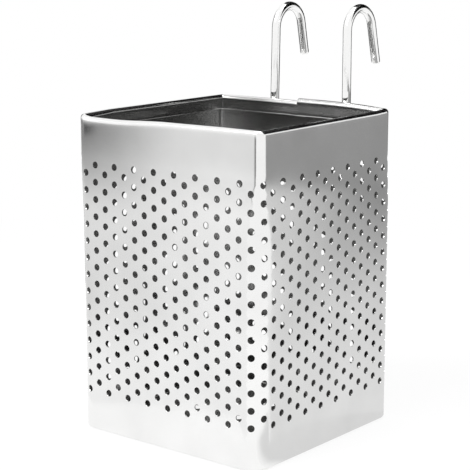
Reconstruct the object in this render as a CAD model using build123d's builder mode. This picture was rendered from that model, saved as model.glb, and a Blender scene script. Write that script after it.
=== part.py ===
from build123d import *
import math
import os

# Cutlery drainer: a square box of perforated stainless sheet, hung by two wire hooks.
# Millimetres. Origin at the bottom centre, +Z up, the hooks behind the +Y wall.

# Box
body_width = 100.0
body_depth = 100.0
body_height = 140.0
corner_radius = 9.0
sheet = 0.5

# Rim, rolled inwards into an open hem
hem_width = 2.4
hem_depth = 6.8
hem_round = 1.0
hem_tuck = 0.5

# Bottom edge, turned in under the floor pan
foot_flange = 3.5
foot_bend = 1.0

# Lap seam in the hook wall, a little off its middle, in a plain land between the columns of holes
seam_x = 1.2
seam_lap = 5.8
seam_land = 7.5
joint_gap = 0.3
lap_root = 1.0

# Rim of the lap: the outer hem rides over the inner one, then runs out along the wall
lap_rise = 1.1
lap_runout = 14.0
lap_sink = 0.05

# Punched holes in staggered columns, between two plain bands: square, as wide open as round ones
hole_diameter = 4.8
column_pitch = 9.3
row_pitch = 11.5
bottom_band = 16.8
top_band = 20.3

# Floor pan
pan_lip = 6.0
pan_bend = 1.2
pan_fit = 0.1
drain_diameter = 6.0
drain_pitch = 24.0
drain_margin = 14.0

# Wire hooks
wire_diameter = 4.0
wire_sides = 12
hook_spacing = 40.0
hook_height = 44.0
hook_opening = 15.5
hook_splay = 13.0
left_tip = 16.0
right_tip = 18.5
weld_length = 17.0
wire_end = 0.6

half = sheet / 2
square_side = math.sqrt(math.pi) / 2
hem_flat = hem_round - half * math.tan(math.pi / 8)
wall_y = body_depth / 2
joint_x = seam_x - seam_lap / 2
start_x = joint_x - joint_gap
lap_x = seam_x + seam_lap / 2
hem_bottom = body_height - hem_depth
pan_top = sheet + pan_lip

os.makedirs("parts", exist_ok=True)

# Outer line of the box, seen from above: from one end of the sheet round to the other
with BuildLine() as outline:
    FilletPolyline(
        (start_x, wall_y),
        (-body_width / 2, wall_y),
        (-body_width / 2, -wall_y),
        (body_width / 2, -wall_y),
        (body_width / 2, wall_y),
        (joint_x, wall_y),
        radius=corner_radius,
    )
wall_line = outline.wire()
perimeter = wall_line.length + joint_gap

# Places of the punched holes: the odd columns stand half a pitch higher
holed_height = body_height - bottom_band - top_band - hole_diameter
rows = int(holed_height / row_pitch + 0.5)
columns = int((perimeter - seam_land - hole_diameter) / column_pitch) + 1
first_column = start_x - seam_x + (perimeter - (columns - 1) * column_pitch) / 2
lowest_row = bottom_band + hole_diameter / 2
hole_places = []
for column in range(columns):
    along = (first_column + column * column_pitch) / wall_line.length
    heading = wall_line % along
    outward = Vector(heading.Y, -heading.X, 0)
    wall_plane = Plane(wall_line @ along, x_dir=heading, z_dir=outward)
    stagger = column % 2 * row_pitch / 2
    for row in range(rows):
        height = lowest_row + row * row_pitch + stagger
        hole_places.append(wall_plane.location * Location((0, height, 0)))
hole_side = hole_diameter * square_side

# Wall: one strip of sheet, with its foot turned in and its rim rolled over
wall_section = Plane((start_x, wall_y, 0), x_dir=(0, -1, 0), z_dir=(-1, 0, 0))
with BuildPart() as perforated_wall:
    with BuildSketch(wall_section):
        with BuildLine():
            Polyline(
                (foot_flange, half),
                (foot_bend, half),
                (half, foot_bend),
                (half, body_height - hem_round),
                (hem_round, body_height - half),
                (hem_width - hem_round, body_height - half),
                (hem_width - half, body_height - hem_round),
                (hem_width - half - hem_tuck, hem_bottom),
            )
        trace(line_width=sheet)
    sweep(path=wall_line)
    # Inner layer of the lap, spot-welded behind the outer one
    with BuildSketch(Plane.XY.offset(pan_top + pan_fit)):
        with Locations((lap_x, wall_y - sheet)):
            Rectangle(lap_x - start_x + lap_root, sheet, align=(Align.MAX, Align.MAX))
    extrude(amount=hem_bottom - pan_top - pan_fit)
    # Raised rim of the lap: level over both layers, then down to the plain rim
    for section_x, rise in ((joint_x, lap_rise), (lap_x, lap_rise), (lap_x + lap_runout, -lap_sink)):
        rim_plane = Plane((section_x, wall_y, body_height), x_dir=(0, -1, 0), z_dir=(-1, 0, 0))
        with BuildSketch(rim_plane) as rim_section:
            with Locations((hem_width / 2, rise)):
                Rectangle(hem_width - 2 * lap_sink, hem_round + rise, align=(Align.CENTER, Align.MAX))
            chamfer(rim_section.vertices().group_by(Axis.Y)[-1], hem_flat)
    loft(ruled=True)
    # Punched holes
    with Locations(*hole_places):
        Box(hole_side, hole_side, 3 * sheet, mode=Mode.SUBTRACT)
perforated_wall.part.label = "perforated_wall"
export_step(perforated_wall.part, "parts/perforated_wall.step")

# Floor pan: a shallow tray that rests on the turned-in foot
pan_width = body_width - 2 * (sheet + pan_fit)
pan_depth = body_depth - 2 * (sheet + pan_fit)
drain_columns = int((pan_width - 2 * drain_margin) / drain_pitch) + 1
drain_rows = int((pan_depth - 2 * drain_margin) / drain_pitch) + 1
drain_side = drain_diameter * square_side
with BuildPart() as floor_pan:
    with BuildSketch(Plane.XY.offset(sheet)):
        RectangleRounded(pan_width, pan_depth, corner_radius - sheet - pan_fit)
    extrude(amount=pan_lip)
    chamfer(floor_pan.faces().sort_by(Axis.Z)[0].edges(), pan_bend)
    offset(amount=-sheet, openings=floor_pan.faces().sort_by(Axis.Z)[-1])
    with BuildSketch(Plane.XY.offset(sheet)):
        with GridLocations(drain_pitch, drain_pitch, drain_columns, drain_rows):
            Rectangle(drain_side, drain_side)
    extrude(amount=sheet, mode=Mode.SUBTRACT)
floor_pan.part.label = "floor_pan"
export_step(floor_pan.part, "parts/floor_pan.step")

# Wire hooks: a shank welded to the plain band, a bend over the rail, and a tip that splays out
bend_radius = (hook_opening + wire_diameter) / 2
shank_y = wall_y + wire_diameter / 2
shank_bottom = body_height - weld_length
bend_z = body_height + hook_height - bend_radius - wire_diameter / 2
hooks = (
    ("left_hook", seam_x - hook_spacing / 2, left_tip),
    ("right_hook", seam_x + hook_spacing / 2, right_tip),
)
for hook_name, hook_x, tip in hooks:
    with BuildPart() as hook:
        with BuildLine(Plane.YZ.offset(hook_x)) as wire_line:
            Line((shank_y, shank_bottom), (shank_y, bend_z))
            bend = CenterArc((shank_y + bend_radius, bend_z), bend_radius, hook_splay, 180 - hook_splay)
            PolarLine(bend @ 0, tip, hook_splay - 90)
        with BuildSketch(Plane((hook_x, shank_y, shank_bottom))):
            RegularPolygon(wire_diameter / 2, wire_sides, major_radius=False, rotation=180 / wire_sides)
        sweep(path=wire_line.wire())
        chamfer(hook.faces().sort_by(Axis.Z)[0].edges(), wire_end)
    hook.part.label = hook_name
    export_step(hook.part, f"parts/{hook_name}.step")
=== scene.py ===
import math

import bpy
from mathutils import Euler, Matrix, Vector


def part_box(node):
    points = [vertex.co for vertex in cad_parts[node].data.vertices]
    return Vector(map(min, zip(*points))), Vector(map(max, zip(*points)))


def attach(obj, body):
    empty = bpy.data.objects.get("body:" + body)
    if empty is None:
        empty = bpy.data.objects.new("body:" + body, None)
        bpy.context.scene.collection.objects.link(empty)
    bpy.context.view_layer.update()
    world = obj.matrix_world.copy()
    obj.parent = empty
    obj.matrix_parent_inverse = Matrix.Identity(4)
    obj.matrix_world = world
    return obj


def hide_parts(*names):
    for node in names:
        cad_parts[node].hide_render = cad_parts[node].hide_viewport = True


mm = 0.001
near = 0.01 * mm

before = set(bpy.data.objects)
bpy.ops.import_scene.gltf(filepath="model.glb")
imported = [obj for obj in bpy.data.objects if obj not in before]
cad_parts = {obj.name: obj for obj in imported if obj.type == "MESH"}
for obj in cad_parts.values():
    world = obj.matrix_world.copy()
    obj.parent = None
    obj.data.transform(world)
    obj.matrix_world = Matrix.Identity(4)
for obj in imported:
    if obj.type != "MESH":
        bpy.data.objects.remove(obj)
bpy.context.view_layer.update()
print("frame loaded")


# Small helpers

def setMode(mode):
    bpy.ops.object.mode_set(mode=mode)


def deselectAll():
    if bpy.context.object and bpy.context.object.mode != "OBJECT":
        setMode("OBJECT")
    bpy.ops.object.select_all(action="DESELECT")


def useOnly(*pieces):
    deselectAll()
    for piece in pieces:
        piece.select_set(True)
    bpy.context.view_layer.objects.active = pieces[0]


def pickNone(piece, kind):
    useOnly(piece)
    setMode("EDIT")
    bpy.ops.mesh.select_mode(type=kind)
    bpy.ops.mesh.select_all(action="DESELECT")
    setMode("OBJECT")


def pickAll(piece, kind):
    pickNone(piece, kind)
    setMode("EDIT")
    bpy.ops.mesh.select_all(action="SELECT")


def pickVerts(piece, test):
    # selects the vertices whose place passes the test, then goes to edit mode
    pickNone(piece, "VERT")
    for vertex in piece.data.vertices:
        vertex.select = test(vertex.co)
    setMode("EDIT")


def pickEdges(piece, test):
    pickVerts(piece, test)
    bpy.ops.mesh.select_mode(type="EDGE")


def extrudeBy(step):
    bpy.ops.mesh.extrude_region_move(TRANSFORM_OT_translate={"value": step})


def applyPlace():
    bpy.ops.object.transform_apply(location=True, rotation=True, scale=True)


def joinPieces(*pieces):
    useOnly(*pieces)
    bpy.ops.object.join()
    return bpy.context.object


def mergeDoubles(piece):
    pickAll(piece, "VERT")
    bpy.ops.mesh.remove_doubles(threshold=near)
    setMode("OBJECT")


def faceOutwards(piece, outward=None):
    # an open sheet has no outside, so it is turned to face along outward
    pickAll(piece, "FACE")
    bpy.ops.mesh.normals_make_consistent(inside=False)
    setMode("OBJECT")
    if outward and sum(face.normal.dot(outward) * face.area for face in piece.data.polygons) < 0:
        piece.data.flip_normals()


def addModifier(piece, kind, **settings):
    useOnly(piece)
    modifier = piece.modifiers.new(kind.title(), kind)
    for name, value in settings.items():
        setattr(modifier, name, value)
    bpy.ops.object.modifier_apply(modifier=modifier.name)


def repeatAlong(piece, count, step):
    addModifier(
        piece, "ARRAY", count=count, use_relative_offset=False,
        use_constant_offset=True, constant_offset_displace=step,
    )


def drawOut(piece, test, points):
    # extrudes the picked edge along a line of (depth, height) points
    pickEdges(piece, test)
    for before, after in zip(points, points[1:]):
        extrudeBy((0, after[0] - before[0], after[1] - before[1]))
    setMode("OBJECT")


def smoothBy(piece, angle):
    useOnly(piece)
    bpy.ops.object.shade_smooth_by_angle(angle=math.radians(angle))


def thicken(piece, thickness, outerShade=None, innerShade=lambda place: 1):
    # marks how much painted shade each vertex takes, from 0 to 1: a list for the outer face, a function
    # for the new inner face
    outerCount = len(piece.data.vertices)
    addModifier(piece, "SOLIDIFY", thickness=thickness, offset=-1, use_even_offset=True)
    shadeMask = piece.data.attributes.new("paintedShade", "FLOAT", "POINT")
    for index, mark in enumerate(shadeMask.data):
        if index >= outerCount:
            mark.value = innerShade(piece.data.vertices[index].co)
        else:
            mark.value = outerShade[index] if outerShade else 0


def finishPiece(piece, name, node, material):
    piece.name = name
    piece.data.name = name
    piece.data.materials.clear()
    piece.data.materials.append(material)
    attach(piece, "root")
    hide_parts(node)
    print(name, "has", len(piece.data.polygons), "faces")


def ramp(value, start, end):
    # 0 at start, 1 at end and smooth between them
    share = min(max((value - start) / (end - start), 0), 1)
    return share * share * (3 - 2 * share)


def between(levels, share):
    return levels[0] + (levels[1] - levels[0]) * share


# Materials

def newMaterial(name):
    material = bpy.data.materials.new(name)
    material.use_nodes = True
    tree = material.node_tree
    tree.nodes.clear()
    tree.nodes.new("ShaderNodeOutputMaterial")
    shader = tree.nodes.new("ShaderNodeBsdfPrincipled")
    showShader(tree, shader.outputs["BSDF"])
    return material, shader


def newGlow(name):
    # a material that only glows
    material, shader = newMaterial(name)
    material.node_tree.nodes.remove(shader)
    glow = material.node_tree.nodes.new("ShaderNodeEmission")
    return material, glow


def newGroup(name, inputs, outputs):
    group = bpy.data.node_groups.new(name, "ShaderNodeTree")
    for socket, kind, value in inputs:
        made = group.interface.new_socket(socket, in_out="INPUT", socket_type=kind)
        if value is not None:
            made.default_value = value
    for socket, kind in outputs:
        group.interface.new_socket(socket, in_out="OUTPUT", socket_type=kind)
    inside = group.nodes.new("NodeGroupInput")
    outside = group.nodes.new("NodeGroupOutput")
    return group, inside, outside


def feed(tree, socket, value):
    # a number or a colour is set on the socket, and a node's output is linked to it
    if isinstance(value, (int, float, tuple)):
        socket.default_value = value
    else:
        tree.links.new(value, socket)


def mathNode(tree, operation, first, second):
    node = tree.nodes.new("ShaderNodeMath")
    node.operation = operation
    feed(tree, node.inputs[0], first)
    feed(tree, node.inputs[1], second)
    return node.outputs[0]


def mixColours(tree, factor, first, second):
    node = tree.nodes.new("ShaderNodeMix")
    node.data_type = "RGBA"
    feed(tree, node.inputs["Factor"], factor)
    feed(tree, node.inputs["A"], first)
    feed(tree, node.inputs["B"], second)
    return node.outputs["Result"]


def mixShaders(tree, factor, first, second):
    node = tree.nodes.new("ShaderNodeMixShader")
    for socket, value in zip(node.inputs, (factor, first, second)):
        tree.links.new(value, socket)
    return node.outputs[0]


def mapNode(tree, value, before, after, kind="LINEAR"):
    # spreads the range before over the range after
    node = tree.nodes.new("ShaderNodeMapRange")
    node.interpolation_type = kind
    for socket, number in zip(("From Min", "From Max", "To Min", "To Max"), before + after):
        node.inputs[socket].default_value = number
    tree.links.new(value, node.inputs["Value"])
    return node.outputs["Result"]


def showShader(tree, shader):
    output = next(node for node in tree.nodes if node.type.startswith("OUTPUT"))
    tree.links.new(shader, output.inputs["Surface"])


def makeBrushing():
    # fine scratches along one direction, and broad cloudy patches, from any 3-D coordinates
    group, inside, outside = newGroup(
        "brushing",
        (
            ("Place", "NodeSocketVector", None),
            ("Stretch", "NodeSocketVector", (300, 300, 9000)),
            ("Cloud size", "NodeSocketFloat", 35.0),
        ),
        (("Scratch", "NodeSocketFloat"), ("Cloud", "NodeSocketFloat")),
    )
    links = group.links
    stretched = group.nodes.new("ShaderNodeVectorMath")
    stretched.operation = "MULTIPLY"
    links.new(inside.outputs["Place"], stretched.inputs[0])
    links.new(inside.outputs["Stretch"], stretched.inputs[1])
    scratch = group.nodes.new("ShaderNodeTexNoise")
    scratch.inputs["Scale"].default_value = 1
    scratch.inputs["Detail"].default_value = 3
    scratch.inputs["Roughness"].default_value = 0.65
    links.new(stretched.outputs[0], scratch.inputs["Vector"])
    cloud = group.nodes.new("ShaderNodeTexNoise")
    cloud.inputs["Detail"].default_value = 4
    links.new(inside.outputs["Place"], cloud.inputs["Vector"])
    links.new(inside.outputs["Cloud size"], cloud.inputs["Scale"])
    links.new(scratch.outputs["Fac"], outside.inputs["Scratch"])
    links.new(cloud.outputs["Fac"], outside.inputs["Cloud"])
    return group


brushing = makeBrushing()

# stretch and cloudSize are scales of noise, per metre, and cloudRange is where most of the clouds lie
steelSheet = {
    "darkest": (0.83, 0.83, 0.825, 1),
    "lightest": (0.94, 0.94, 0.935, 1),
    # inside: painted shade, a darker steel for the dim inside, mixed in where the shade mask marks it
    "inside": (0.36, 0.36, 0.355, 1),
    "roughness": (0.12, 0.20),
    "stretch": (400, 400, 12000),
    "cloudSize": 40,
    "cloudRange": (0.3, 0.7),
    "cloudShare": 1.6,
    "scratchShare": 0.5,
    "darkening": 0.55,
    "bump": 0.12,
    "bumpDepth": 0.01 * mm,
}
steelWire = {
    "darkest": (0.88, 0.88, 0.875, 1),
    "lightest": (0.97, 0.97, 0.965, 1),
    "roughness": (0.08, 0.17),
    "stretch": (2500, 2500, 300),
    "cloudSize": 90,
    "cloudRange": (0.3, 0.7),
}


def newMetal(name, settings):
    # metal whose roughness follows the clouds of the shared brushing
    material, shader = newMaterial(name)
    tree = material.node_tree
    coordinates = tree.nodes.new("ShaderNodeTexCoord")
    grain = tree.nodes.new("ShaderNodeGroup")
    grain.node_tree = brushing
    grain.inputs["Stretch"].default_value = settings["stretch"]
    grain.inputs["Cloud size"].default_value = settings["cloudSize"]
    tree.links.new(coordinates.outputs["Object"], grain.inputs["Place"])
    roughness = mapNode(tree, grain.outputs["Cloud"], settings["cloudRange"], settings["roughness"])
    tree.links.new(roughness, shader.inputs["Roughness"])
    shader.inputs["Metallic"].default_value = 1
    return material, shader, grain


def makeSheetMaterial(settings):
    material, shader, grain = newMetal("brushedSheet", settings)
    tree = material.node_tree
    clouds = mathNode(tree, "MULTIPLY", grain.outputs["Cloud"], settings["cloudShare"])
    scratches = mathNode(tree, "MULTIPLY", grain.outputs["Scratch"], settings["scratchShare"])
    both = mathNode(tree, "ADD", clouds, scratches)
    mixture = mathNode(tree, "SUBTRACT", both, settings["darkening"])
    tint = mixColours(tree, mixture, settings["darkest"], settings["lightest"])
    # painted shade: the mask mixes the darker inside colour into the inner face and parts of the rim
    shadeMask = tree.nodes.new("ShaderNodeAttribute")
    shadeMask.attribute_name = "paintedShade"
    paintedShading = mixColours(tree, shadeMask.outputs["Fac"], tint, settings["inside"])
    tree.links.new(paintedShading, shader.inputs["Base Color"])
    bump = tree.nodes.new("ShaderNodeBump")
    bump.inputs["Strength"].default_value = settings["bump"]
    bump.inputs["Distance"].default_value = settings["bumpDepth"]
    tree.links.new(grain.outputs["Scratch"], bump.inputs["Height"])
    tree.links.new(bump.outputs["Normal"], shader.inputs["Normal"])
    return material


def makeWireMaterial(settings):
    material, shader, grain = newMetal("polishedWire", settings)
    tree = material.node_tree
    tint = mixColours(tree, grain.outputs["Scratch"], settings["darkest"], settings["lightest"])
    tree.links.new(tint, shader.inputs["Base Color"])
    return material


sheetMaterial = makeSheetMaterial(steelSheet)
wireMaterial = makeWireMaterial(steelWire)
print("materials made")


# Perforated wall: a flat strip is punched, its foot and rim are rolled, then it is wrapped round

wallLow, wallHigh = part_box("perforated_wall")

wall = {
    "side": wallHigh.x - wallLow.x,
    "height": 140 * mm,
    "sheet": 0.5 * mm,
    "smoothBelow": 40,
    # corners are round beside the holes and tight under the rim, and change over bandZone
    "cornerRadius": 9 * mm,
    "rimCorner": 3.5 * mm,
    "bandZone": (92 * mm, 121 * mm),
    "bowPower": 4,
    # holes in staggered columns, and how far some walls' holes slip off an even pitch
    "columns": 68,
    "rows": 14,
    "columnPitch": 5.603 * mm,
    "rowPitch": 7.405 * mm,
    "lowestHole": 18.3 * mm,
    "holeDiameter": 3 * mm,
    "patternMiddle": 1.2 * mm,
    "backLeftSlip": (-1.75 * mm, -2.6 * mm),
    "leftSlip": -0.3 * mm,
    "backRightSlip": 1 * mm,
    # bottom band and turned-in foot, with footRows as shares of the band's height
    "footFlange": 3.5 * mm,
    "footRadius": 1 * mm,
    "footSteps": 4,
    "footRows": (1, 0.75, 0.45, 0.2),
    # rolled rim and top band, with bandRows and legRows as shares of the way along them
    "rimWidth": 3.3 * mm,
    "rimDepth": 6.8 * mm,
    "rimTuck": 0.5 * mm,
    "rimFlare": 0.06 * mm,
    "flareHeight": 0.24 * mm,
    "rimSteps": 10,
    "bandRows": (0, 0.3, 0.6, 0.85),
    "legRows": (0.35, 0.7, 1),
    # lap seam, with lapSpread and lapDepth in sheet thicknesses
    "seamX": 0.65 * mm,
    "seamLap": 4.7 * mm,
    "lapRise": 1.1 * mm,
    "lapRunout": 42 * mm,
    "lapPower": 2.5,
    "lapRamp": 4.5 * mm,
    "lapSink": 0.2 * mm,
    "lapSpread": 1.1,
    "lapDepth": 1.04,
}
sideRun = wall["side"] - 2 * wall["cornerRadius"] + wall["cornerRadius"] * math.pi / 2
perimeter = 4 * sideRun
firstEnd = -(wall["seamX"] + wall["seamLap"] / 2)
lastEnd = perimeter - wall["seamX"] + wall["seamLap"] / 2
rimBottom = wall["height"] - wall["rimDepth"]
rimSpring = wall["height"] - wall["rimWidth"] / 2

# How far the band under the rim is pushed out of square. Drifts keep the columns of holes upright:
# side runs from the hook wall's middle, millimetres along. Starts, ends and sagShare are shares of a
# wall's length, and zones are heights.
handWork = {
    "frontRightPush": (1.15 * mm, 1.3 * mm),
    "backRightPush": (-1.4 * mm, 0),
    "frontSag": 0.8 * mm,
    "leftDip": 1.1 * mm,
    "dipStart": (0, 0.08),
    "dipEnd": (0.5, 0.2),
    "rightSag": 0.42 * mm,
    "rightSagStart": (0, 0.06),
    "rightSagEnd": (1, 0.85),
    "sagShare": 0.2,
    "sagZone": (126 * mm, 136 * mm),
    "bandDrift": (
        (1, 0), (1.5, -1), (2.1, -2.7), (2.4, -2.3), (2.6, -2.4),
        (2.7, 0.8), (2.76, 1.7), (3.43, 2.4), (3.6, 0),
    ),
    "footDrift": ((1.5, 0), (2, 0.85), (2.5, 0), (3, -0.65), (3.5, 0)),
    "footZone": (60 * mm, 15 * mm),
}

# How much painted shade the rolled rim and the inner face take, from 0 to 1, and the painted light at the
# inner face's back left corner, which takes less shade. Widths are shares of the rim's width.
# beforeSeamZone is in shares of the way from the seam to the corner, and the other zones run along their
# own walls.
rimAndInsideShade = {
    "rollWidths": (0.08, 0.48),
    "legWidths": (0.75, 0.9),
    "pastSeamWidths": (0.1, 0.5),
    "pastSeam": (0.5, 0.1),
    "beforeSeam": (0.3, 1),
    "beforeSeamZone": (0.16, 0.56),
    "leftWall": (0.5, 1),
    "leftWallZone": (0, 22 * mm),
    "rightWallZone": (3.5 * mm, 5.5 * mm),
    "litCornerReach": 52 * mm,
    "litCorner": (1, 0.15),
}
holeSides = 24


def punchTile(width, height, diameter):
    # one hole in its own rectangle of sheet, upright and facing -Y
    upright = (math.pi / 2, 0, 0)
    deselectAll()
    bpy.ops.mesh.primitive_plane_add(size=1, rotation=upright)
    tile = bpy.context.object
    tile.scale = (width, height, 1)
    applyPlace()
    setMode("EDIT")
    bpy.ops.mesh.select_mode(type="EDGE")
    bpy.ops.mesh.select_all(action="SELECT")
    bpy.ops.mesh.delete(type="ONLY_FACE")
    bpy.ops.mesh.select_all(action="SELECT")
    bpy.ops.mesh.subdivide(number_cuts=holeSides // 4 - 1)
    bpy.ops.mesh.primitive_circle_add(vertices=holeSides, radius=diameter / 2, rotation=upright)
    bpy.ops.mesh.select_all(action="SELECT")
    bpy.ops.mesh.bridge_edge_loops()
    setMode("OBJECT")
    return tile


def plainTile(width, height, place):
    deselectAll()
    # as many points along its edges as a punched tile has
    bpy.ops.mesh.primitive_grid_add(
        x_subdivisions=holeSides // 4, y_subdivisions=holeSides // 8,
        size=1, rotation=(math.pi / 2, 0, 0),
    )
    tile = bpy.context.object
    tile.scale = (width, height, 1)
    tile.location = place
    applyPlace()
    return tile


def movePiece(piece, step):
    useOnly(piece)
    bpy.ops.transform.translate(value=step)
    applyPlace()


def copyPiece(piece):
    useOnly(piece)
    bpy.ops.object.duplicate()
    return bpy.context.object


def tightness(height):
    return ramp(height, *wall["bandZone"])


def alongLine(points, value):
    for (start, low), (end, high) in zip(points, points[1:]):
        if start <= value <= end:
            return between((low, high), (value - start) / (end - start))
    return 0


def driftAt(along, height):
    place = along / sideRun
    band = alongLine(handWork["bandDrift"], place) * tightness(height)
    foot = alongLine(handWork["footDrift"], place) * ramp(height, *handWork["footZone"])
    return (band + foot) * mm


def handBend(spot):
    # the band under the rim isn't quite square: its right corners are pushed, its edges sag
    tight = tightness(spot.z)
    nearRim = ramp(spot.z, *handWork["sagZone"])
    across = 0.5 + spot.x / wall["side"]
    back = 0.5 + spot.y / wall["side"]
    front = across * (1 - back) * tight
    rear = across * back * tight
    skew = math.sqrt(min(max(across, 0), 1))
    inFront = max(1 - back / handWork["sagShare"], 0) * nearRim
    inRight = max(1 - (1 - across) / handWork["sagShare"], 0) * nearRim
    sag = 4 * skew * (1 - skew) * inFront
    dip = ramp(across, *handWork["dipStart"]) * ramp(across, *handWork["dipEnd"]) * inFront
    rightSag = ramp(back, *handWork["rightSagStart"]) * ramp(back, *handWork["rightSagEnd"]) * inRight
    return Vector((
        front * handWork["frontRightPush"][0] + rear * handWork["backRightPush"][0],
        front * handWork["frontRightPush"][1] + rear * handWork["backRightPush"][1],
        -sag * handWork["frontSag"] - dip * handWork["leftDip"] - rightSag * handWork["rightSag"],
    ))


def wrapRound(piece):
    # x runs along the sheet from the middle of the hook wall, y is the depth behind its face
    for vertex in piece.data.vertices:
        along, depth, height = vertex.co
        along += driftAt(along, height)
        radius = between((wall["cornerRadius"], wall["rimCorner"]), tightness(height))
        straight = sideRun - radius * math.pi / 2
        turns, rest = divmod(along + straight / 2, sideRun)
        flat = min(rest, straight)
        angle = (rest - flat) / radius
        reach = radius - depth
        # tighter corners draw the walls in a little, all but the middle of the stiff hook wall
        bow = 0
        if turns % 4 == 0:
            drawnIn = wall["side"] / 2 - straight / 2 - radius
            bow = drawnIn * (1 - (2 * flat / straight - 1) ** wall["bowPower"])
        spot = Vector((
            straight / 2 - flat - reach * math.sin(angle),
            straight / 2 + bow + reach * math.cos(angle),
            height,
        ))
        spot.rotate(Euler((0, 0, turns * math.pi / 2)))
        vertex.co = spot + handBend(spot)


def lapEnds(piece):
    # the first end goes behind the last one, and the last one's rim rides over the first's
    lapStart = firstEnd + wall["seamLap"]
    for vertex in piece.data.vertices:
        along, depth, height = vertex.co
        behind = ramp(along, lapStart + wall["lapRamp"], lapStart)
        fallen = min(max((lastEnd - wall["seamLap"] - along) / wall["lapRunout"], 0), 1)
        over = 1 - fallen ** wall["lapPower"]
        inLeg = depth > 5 * near and height > rimBottom - 10 * near
        if inLeg or height > rimSpring:
            depth += behind * wall["sheet"] * (1 - depth / wall["rimWidth"])
            depth += over * wall["sheet"] * wall["lapSpread"] * depth / wall["rimWidth"]
            height += over * wall["lapRise"] * ramp(height, rimBottom, rimSpring)
            height -= behind * wall["lapSink"]
        else:
            depth += behind * wall["sheet"] * wall["lapDepth"]
        vertex.co = (along, depth, height)


def slipAt(along):
    # how far the holes of the hook wall and the left wall are off an even pitch round the corners
    bend = wall["cornerRadius"] * math.pi / 2
    flat = (sideRun - bend) / 2
    onBackLeft = ramp(along, flat + bend, flat)
    onLeft = ramp(along, sideRun + flat + bend, sideRun + flat)
    onBackRight = ramp(along, 3 * sideRun + flat, 3 * sideRun + flat + bend)
    backLeft = between(wall["backLeftSlip"], min(along / flat, 1))
    slip = onBackLeft * (backLeft - wall["leftSlip"]) + onLeft * wall["leftSlip"]
    return slip + onBackRight * wall["backRightSlip"]


def rimShade(place):
    # painted shade on the rim's roll and leg, as dark as the inner face, less beside the seam and the
    # left corner
    turns, rest = divmod(place.x + sideRun / 2, sideRun)
    share = place.y / wall["rimWidth"]
    if place.z < rimBottom - near:
        return 0
    if turns > 3:
        level = between(rimAndInsideShade["pastSeam"], (perimeter - place.x) / (sideRun / 2))
        return level * ramp(share, *rimAndInsideShade["pastSeamWidths"])
    if turns == 3:
        return ramp(share, *rimAndInsideShade["rollWidths"]) * ramp(rest, *rimAndInsideShade["rightWallZone"])
    if turns == 2:
        return ramp(share, *rimAndInsideShade["legWidths"])
    if turns == 1:
        level = between(rimAndInsideShade["leftWall"], ramp(rest, *rimAndInsideShade["leftWallZone"]))
        return level * ramp(share, *rimAndInsideShade["rollWidths"])
    fromSeam = ramp(place.x / (sideRun / 2), *rimAndInsideShade["beforeSeamZone"])
    return between(rimAndInsideShade["beforeSeam"], fromSeam) * ramp(share, *rimAndInsideShade["legWidths"])


def insideShade(place):
    # painted light: the back left corner of the inner face takes less painted shade, so it is lighter
    away = wall["side"] / 2 - place.y + 2 * (place.x + wall["side"] / 2)
    return between(rimAndInsideShade["litCorner"], ramp(away, rimAndInsideShade["litCornerReach"], 0))


def punchStrip(firstColumn):
    # columns of holes between the two plain bands, every other one half a row higher
    pitch = wall["columnPitch"]
    row = wall["rowPitch"]
    lowest = wall["lowestHole"]
    top = lowest + wall["rows"] * row
    column = punchTile(pitch, row, wall["holeDiameter"])
    movePiece(column, (firstColumn, 0, lowest))
    repeatAlong(column, wall["rows"], (0, 0, row))
    neighbour = copyPiece(column)
    movePiece(neighbour, (pitch, 0, row / 2))
    underNeighbour = plainTile(pitch, row / 2, (firstColumn + pitch, 0, lowest - row / 4))
    overColumn = plainTile(pitch, row / 2, (firstColumn, 0, top - row / 4))
    strip = joinPieces(column, neighbour, underNeighbour, overColumn)
    repeatAlong(strip, wall["columns"] // 2, (2 * pitch, 0, 0))
    mergeDoubles(strip)
    # the first column would fall in the lap, so it is left out
    pickVerts(strip, lambda place: place.x < firstColumn + pitch / 2 - near)
    bpy.ops.mesh.delete(type="VERT")
    setMode("OBJECT")
    for vertex in strip.data.vertices:
        vertex.co.x += slipAt(vertex.co.x)
    return strip


def growLand(strip, edge, end, steps):
    # plain land from the outermost column of holes to the end of the sheet
    pickVerts(strip, lambda place: abs(place.x - edge) < near)
    for step in range(steps):
        extrudeBy(((end - edge) / steps, 0, 0))
    setMode("OBJECT")


def rollFoot(strip):
    # bottom band, bend and foot
    bottom = wall["lowestHole"] - wall["rowPitch"] / 2
    bend = wall["footRadius"]
    steps = wall["footSteps"]
    foot = [(0, share * bottom) for share in wall["footRows"]]
    for angle in [math.pi / 2 * step / steps for step in range(steps + 1)]:
        foot.append((bend - bend * math.cos(angle), bend - bend * math.sin(angle)))
    foot.append((wall["footFlange"], 0))
    drawOut(strip, lambda place: abs(place.z - bottom) < near, foot)


def rollRim(strip):
    # top band, half turn and the leg inside, which flares a little at its end
    top = wall["lowestHole"] + wall["rows"] * wall["rowPitch"]
    roll = wall["rimWidth"] / 2
    steps = wall["rimSteps"]
    rim = [(0, between((top, rimSpring), share)) for share in wall["bandRows"]]
    for angle in [math.pi * step / steps for step in range(steps + 1)]:
        rim.append((roll - roll * math.cos(angle), rimSpring + roll * math.sin(angle)))
    for share in wall["legRows"]:
        height = between((rimSpring, rimBottom + wall["flareHeight"]), share)
        rim.append((wall["rimWidth"] - wall["rimTuck"] * share, height))
    rim.append((wall["rimWidth"] - wall["rimTuck"] + wall["rimFlare"], rimBottom))
    drawOut(strip, lambda place: abs(place.z - top) < near, rim)


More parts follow.
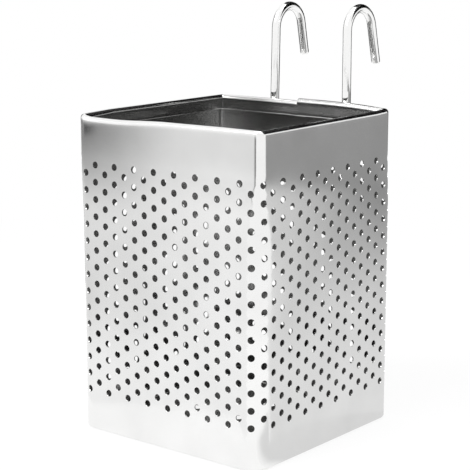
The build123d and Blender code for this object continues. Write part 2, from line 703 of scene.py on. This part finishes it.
def makeWall():
    punched = (wall["columns"] - 1) * wall["columnPitch"]
    strip = punchStrip((perimeter - punched) / 2 - wall["patternMiddle"])
    print("strip punched")
    left = min(vertex.co.x for vertex in strip.data.vertices)
    right = max(vertex.co.x for vertex in strip.data.vertices)
    growLand(strip, left, firstEnd, 4)
    growLand(strip, right, lastEnd, 2)
    rollFoot(strip)
    rollRim(strip)
    print("foot and rim rolled")
    faceOutwards(strip, Vector((0, -1, 0)))
    # painted shade on the rolled rim, one level for each vertex
    paintedShading = [rimShade(vertex.co) for vertex in strip.data.vertices]
    lapEnds(strip)
    wrapRound(strip)
    # the inner face takes painted shade, with painted light at its back left corner
    thicken(strip, wall["sheet"], paintedShading, insideShade)
    smoothBy(strip, wall["smoothBelow"])
    finishPiece(strip, "drainerWall", "perforated_wall", sheetMaterial)


makeWall()


# Wire hooks

hooks = {
    "wire": 4 * mm,
    "sides": 32,
    "opening": 15.5 * mm,
    "bendSteps": 40,
    "splay": 13,
    "endRound": 1.2 * mm,
    "smoothBelow": 35,
    # degrees off upright, and how far the foot stands to the side
    "leftLean": (1.2, -0.95 * mm),
    "rightLean": (0, 0),
}


def makeHook(name, node, lean):
    low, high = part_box(node)
    radius = hooks["wire"] / 2
    middle = (low.x + high.x) / 2
    shankY = low.y + radius
    bend = (hooks["opening"] + hooks["wire"]) / 2
    bendZ = high.z - radius - bend
    splay = math.radians(hooks["splay"])
    deselectAll()
    bpy.ops.mesh.primitive_circle_add(
        vertices=hooks["sides"], radius=radius, fill_type="NGON", location=(middle, shankY, low.z)
    )
    wire = bpy.context.object
    applyPlace()
    setMode("EDIT")
    bpy.ops.mesh.select_mode(type="FACE")
    bpy.ops.mesh.select_all(action="SELECT")
    extrudeBy((0, 0, bendZ - low.z))
    bpy.ops.mesh.spin(
        steps=hooks["bendSteps"], angle=math.pi - splay,
        center=(middle, shankY + bend, bendZ), axis=(1, 0, 0),
    )
    # the straight tip carries on where the bend ends, as far as the node's box reaches
    tipStart = shankY + bend + bend * math.cos(splay)
    tip = (high.y - radius * math.cos(splay) - tipStart) / math.sin(splay)
    extrudeBy((0, tip * math.sin(splay), -tip * math.cos(splay)))
    setMode("OBJECT")
    mergeDoubles(wire)
    faceOutwards(wire)
    # round the two cut ends
    pickNone(wire, "FACE")
    for face in wire.data.polygons:
        face.select = len(face.vertices) == hooks["sides"]
    setMode("EDIT")
    bpy.ops.mesh.bevel(offset=hooks["endRound"], segments=4, profile=0.5)
    setMode("OBJECT")
    slope = math.tan(math.radians(lean[0]))
    for vertex in wire.data.vertices:
        vertex.co.x += (vertex.co.z - low.z) * slope + lean[1]
    smoothBy(wire, hooks["smoothBelow"])
    finishPiece(wire, name, node, wireMaterial)


makeHook("leftHookWire", "left_hook", hooks["leftLean"])
makeHook("rightHookWire", "right_hook", hooks["rightLean"])


# Floor pan

pan = {
    "clearance": 0.1 * mm,
    "bend": 1.2 * mm,
    "bendSteps": 4,
    "cornerSteps": 8,
    "drain": 6 * mm,
    "drainPitch": 24 * mm,
    "drains": 3,
}


def makePan():
    low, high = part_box("floor_pan")
    pitch = pan["drainPitch"]
    reach = pitch * (pan["drains"] - 1) / 2
    tray = punchTile(pitch, pitch, pan["drain"])
    useOnly(tray)
    tray.rotation_euler = (-math.pi / 2, 0, 0)
    tray.location = (-reach, -reach, low.z)
    applyPlace()
    repeatAlong(tray, pan["drains"], (pitch, 0, 0))
    repeatAlong(tray, pan["drains"], (0, pitch, 0))
    mergeDoubles(tray)

    # plain border round the drains, with rounded corners
    middle = pitch * pan["drains"] / 2
    outer = high.x
    border = outer - middle
    sides = (
        ((border, 0, 0), lambda place: place.x), ((-border, 0, 0), lambda place: -place.x),
        ((0, border, 0), lambda place: place.y), ((0, -border, 0), lambda place: -place.y),
    )
    for step, away in sides:
        pickEdges(tray, lambda place: away(place) > middle - near)
        extrudeBy(step)
        setMode("OBJECT")
    corner = wall["cornerRadius"] - wall["sheet"] - pan["clearance"]
    pickVerts(tray, lambda place: min(abs(place.x), abs(place.y)) > outer - near)
    bpy.ops.mesh.bevel(offset=corner, segments=pan["cornerSteps"], affect="VERTICES")
    setMode("OBJECT")

    # lip turned up, with a bend at its foot
    def onOutline(place):
        overX = max(abs(place.x) - outer + corner, 0)
        overY = max(abs(place.y) - outer + corner, 0)
        return math.hypot(overX, overY) > corner - 5 * near

    pickEdges(tray, onOutline)
    extrudeBy((0, 0, high.z - low.z))
    setMode("OBJECT")
    pickEdges(tray, lambda place: onOutline(place) and place.z < low.z + near)
    bpy.ops.mesh.bevel(offset=pan["bend"], segments=pan["bendSteps"])
    setMode("OBJECT")
    faceOutwards(tray, Vector((0, 0, -1)))
    # the pan's inner face takes full painted shade
    thicken(tray, wall["sheet"])
    smoothBy(tray, wall["smoothBelow"])
    finishPiece(tray, "drainPan", "floor_pan", sheetMaterial)


makePan()


# Stage, lights and camera

stage = {
    "floorSize": 1.6,
    "floorColour": (0.86, 0.86, 0.86, 1),
    "floorRoughness": 0.9,
    "paper": 1.0,
    "room": 0.5,
    # share of paper white in the floor, near the drainer and beyond its shadow
    "paperShare": (0.8, 1.0),
    "shadowReach": (0.16, 0.5),
}


def paperRays(tree):
    # 1 for what the camera sees directly or in metal
    rays = tree.nodes.new("ShaderNodeLightPath")
    seen = mathNode(tree, "MAXIMUM", rays.outputs["Is Camera Ray"], rays.outputs["Is Glossy Ray"])
    return mathNode(tree, "MAXIMUM", seen, rays.outputs["Is Transmission Ray"])


def makeFloor():
    deselectAll()
    bpy.ops.mesh.primitive_circle_add(vertices=64, radius=stage["floorSize"] / 2, fill_type="NGON")
    floor = bpy.context.object
    floor.name = "floorDisc"
    material, shader = newMaterial("paperFloor")
    tree = material.node_tree
    shader.inputs["Base Color"].default_value = stage["floorColour"]
    shader.inputs["Roughness"].default_value = stage["floorRoughness"]
    glow = tree.nodes.new("ShaderNodeEmission")
    glow.inputs["Strength"].default_value = stage["paper"]
    place = tree.nodes.new("ShaderNodeTexCoord")
    away = tree.nodes.new("ShaderNodeVectorMath")
    away.operation = "LENGTH"
    tree.links.new(place.outputs["Object"], away.inputs[0])
    spread = mapNode(tree, away.outputs["Value"], stage["shadowReach"], stage["paperShare"], "SMOOTHSTEP")
    share = mathNode(tree, "MULTIPLY", paperRays(tree), spread)
    showShader(tree, mixShaders(tree, share, shader.outputs["BSDF"], glow.outputs["Emission"]))
    floor.data.materials.append(material)


def makeWorld():
    world = bpy.data.worlds.new("studio")
    bpy.context.scene.world = world
    world.use_nodes = True
    tree = world.node_tree
    tree.nodes.clear()
    tree.nodes.new("ShaderNodeOutputWorld")
    room = tree.nodes.new("ShaderNodeBackground")
    paper = tree.nodes.new("ShaderNodeBackground")
    room.inputs["Color"].default_value = (stage["room"], stage["room"], stage["room"], 1)
    paper.inputs["Color"].default_value = (1, 1, 1, 1)
    showShader(tree, mixShaders(tree, paperRays(tree), room.outputs[0], paper.outputs[0]))


# Painted cards round the drainer, which only its metal sees.
# Azimuths in degrees from +X, heights and reach in metres, level 0 black to 1 white. Each coat of
# paint: azimuths, heights, level, how far its edges run out (first, last azimuth, foot, head).
cards = {
    "frontCard": {"azimuth": (196, 299), "height": (0, 0.136), "reach": (0.10, 0.10), "paint": (
        ((196, 299), (0, 0.14), 0.95, (6, 1, 0.001, 0.001)),
        ((196, 273), (0.01, 0.14), 0.75, (6, 54, 0.05, 0.001)),
        ((196, 299), (0.106, 0.14), 0.78, (6, 1, 0.012, 0.001)),
        ((196, 255), (0.094, 0.14), 0.25, (6, 29, 0.035, 0.001)),
        ((225, 230), (0.1255, 0.133), 0.02, (1.5, 1.5, 0.002, 0.002)),
        ((286, 299), (0.108, 0.14), 0.2, (4, 1, 0.006, 0.001)),
    )},
    "rightCard": {"azimuth": (-16, 64), "height": (0, 0.138), "reach": (0.073, 0.10), "paint": (
        ((-16, 70), (-0.01, 0.07), 0.78, (8, 1, 0.001, 0.03)),
        ((0, 70), (0.02, 0.14), 0.68, (6, 1, 0.04, 0.001)),
        ((8, 70), (0.04, 0.14), 0.50, (22, 1, 0.05, 0.001)),
        ((24, 70), (0.055, 0.14), 0.29, (20, 1, 0.055, 0.001)),
        ((0, 70), (0.1035, 0.14), 0.31, (2, 1, 0.004, 0.001)),
    )},
    "rightFoot": {"azimuth": (-40, 64), "height": (0.0003, 0.0006), "reach": (0.04, 0.105), "paint": (
        ((-40, 64), (-0.01, 0.01), 0.74, (12, 1, 0.001, 0.001)),
    )},
    "blackBack": {"azimuth": (18, 131), "height": (0.25, 1.40), "reach": (0.50, 0.50), "paint": (
        ((18, 131), (0.25, 1.40), 0.0, (4, 1, 0.01, 0.05)),
    )},
    "blackBackLow": {"azimuth": (62, 178), "height": (0, 0.36), "reach": (0.51, 0.51), "paint": (
        ((62, 131), (0, 0.27), 0.0, (2, 2, 0.01, 0.01)),
        ((128, 178), (0, 0.19), 0.0, (2, 2, 0.01, 0.01)),
        ((146, 178), (0.1, 0.36), 0.0, (2, 2, 0.01, 0.01)),
    )},
    "wireEdgeLeft": {"azimuth": (160, 205), "height": (0, 0.10), "reach": (0.30, 0.30), "paint": (
        ((160, 205), (-0.02, 0.10), 0.25, (4, 8, 0.01, 0.02)),
    )},
}

cardCuts = 96

# White paper over the opening, which only the metal above it sees, and only nearly edge-on:
# glancing goes from 0, seen squarely, to 1, seen edge-on.
lid = {"size": (0.11, 0.0764), "place": (-0.018, 0.0116, 0.1425), "glancing": (0.66, 0.74)}


def makeCardMaterial():
    material, glow = newGlow("studioCard")
    tree = material.node_tree
    level = tree.nodes.new("ShaderNodeAttribute")
    level.attribute_name = "level"
    tree.links.new(level.outputs["Fac"], glow.inputs["Strength"])
    showShader(tree, glow.outputs["Emission"])
    return material


def makeLidMaterial():
    material, glow = newGlow("paperLid")
    tree = material.node_tree
    side = tree.nodes.new("ShaderNodeNewGeometry")
    slant = tree.nodes.new("ShaderNodeLayerWeight")
    clear = tree.nodes.new("ShaderNodeBsdfTransparent")
    steep = mapNode(tree, slant.outputs["Facing"], lid["glancing"], (1, 0))
    unseen = mathNode(tree, "MAXIMUM", side.outputs["Backfacing"], steep)
    showShader(tree, mixShaders(tree, unseen, glow.outputs["Emission"], clear.outputs["BSDF"]))
    return material


def hangInStudio(piece, name, material):
    # only the metal sees it
    piece.name = name
    piece.data.materials.append(material)
    piece.visible_camera = False
    piece.visible_diffuse = False
    piece.visible_shadow = False


def makeLid():
    deselectAll()
    bpy.ops.mesh.primitive_plane_add(size=1, location=lid["place"])
    piece = bpy.context.object
    piece.scale = (lid["size"][0], lid["size"][1], 1)
    applyPlace()
    hangInStudio(piece, "paperLid", makeLidMaterial())


def makeCard(name, card, material):
    deselectAll()
    bpy.ops.mesh.primitive_grid_add(x_subdivisions=cardCuts, y_subdivisions=cardCuts, size=1)
    piece = bpy.context.object
    level = piece.data.attributes.new("level", "FLOAT", "POINT")
    for vertex, spot in zip(piece.data.vertices, level.data):
        azimuth = between(card["azimuth"], vertex.co.x + 0.5)
        height = between(card["height"], vertex.co.y + 0.5)
        reach = between(card["reach"], vertex.co.y + 0.5)
        shade = 1
        for azimuths, heights, coat, fades in card["paint"]:
            fromEdges = (
                azimuth - azimuths[0], azimuths[1] - azimuth,
                height - heights[0], heights[1] - height,
            )
            cover = 1
            for distance, fade in zip(fromEdges, fades):
                cover *= ramp(distance, 0, fade)
            shade = between((shade, coat), cover)
        spot.value = shade
        angle = math.radians(azimuth)
        vertex.co = (reach * math.cos(angle), reach * math.sin(angle), height)
    hangInStudio(piece, name, material)


lamps = {
    "keySoftbox": {"place": (-0.3, -0.8, 1.0), "size": 0.8, "watts": 12},
    "topSoftbox": {"place": (0.2, 0.3, 1.2), "size": 1.0, "watts": 10},
}
lampTarget = (0, 0, 0.07)


def makeLamp(name, lamp):
    light = bpy.data.lights.new(name, "AREA")
    light.shape = "RECTANGLE"
    light.size = light.size_y = lamp["size"]
    light.energy = lamp["watts"]
    softbox = bpy.data.objects.new(name, light)
    bpy.context.scene.collection.objects.link(softbox)
    softbox.location = lamp["place"]
    aim = Vector(lampTarget) - Vector(lamp["place"])
    softbox.rotation_euler = aim.to_track_quat("-Z", "Y").to_euler()


cameraSet = {
    "place": (0.40296, -0.50047, 0.21581),
    "pitch": 11.51,
    "azimuth": 38.932,
    "lens": 114.018,
    "sensor": 36,
}


def makeCamera():
    data = bpy.data.cameras.new("photoCamera")
    data.lens = cameraSet["lens"]
    data.sensor_width = cameraSet["sensor"]
    camera = bpy.data.objects.new("photoCamera", data)
    bpy.context.scene.collection.objects.link(camera)
    camera.location = cameraSet["place"]
    camera.rotation_euler = (
        math.radians(90 - cameraSet["pitch"]), 0, math.radians(cameraSet["azimuth"])
    )
    bpy.context.scene.camera = camera


makeFloor()
makeWorld()
cardMaterial = makeCardMaterial()
for cardName, card in cards.items():
    makeCard(cardName, card, cardMaterial)
makeLid()
for lampName, lamp in lamps.items():
    makeLamp(lampName, lamp)
makeCamera()
bpy.context.scene.view_settings.view_transform = "Standard"
print("stage set")
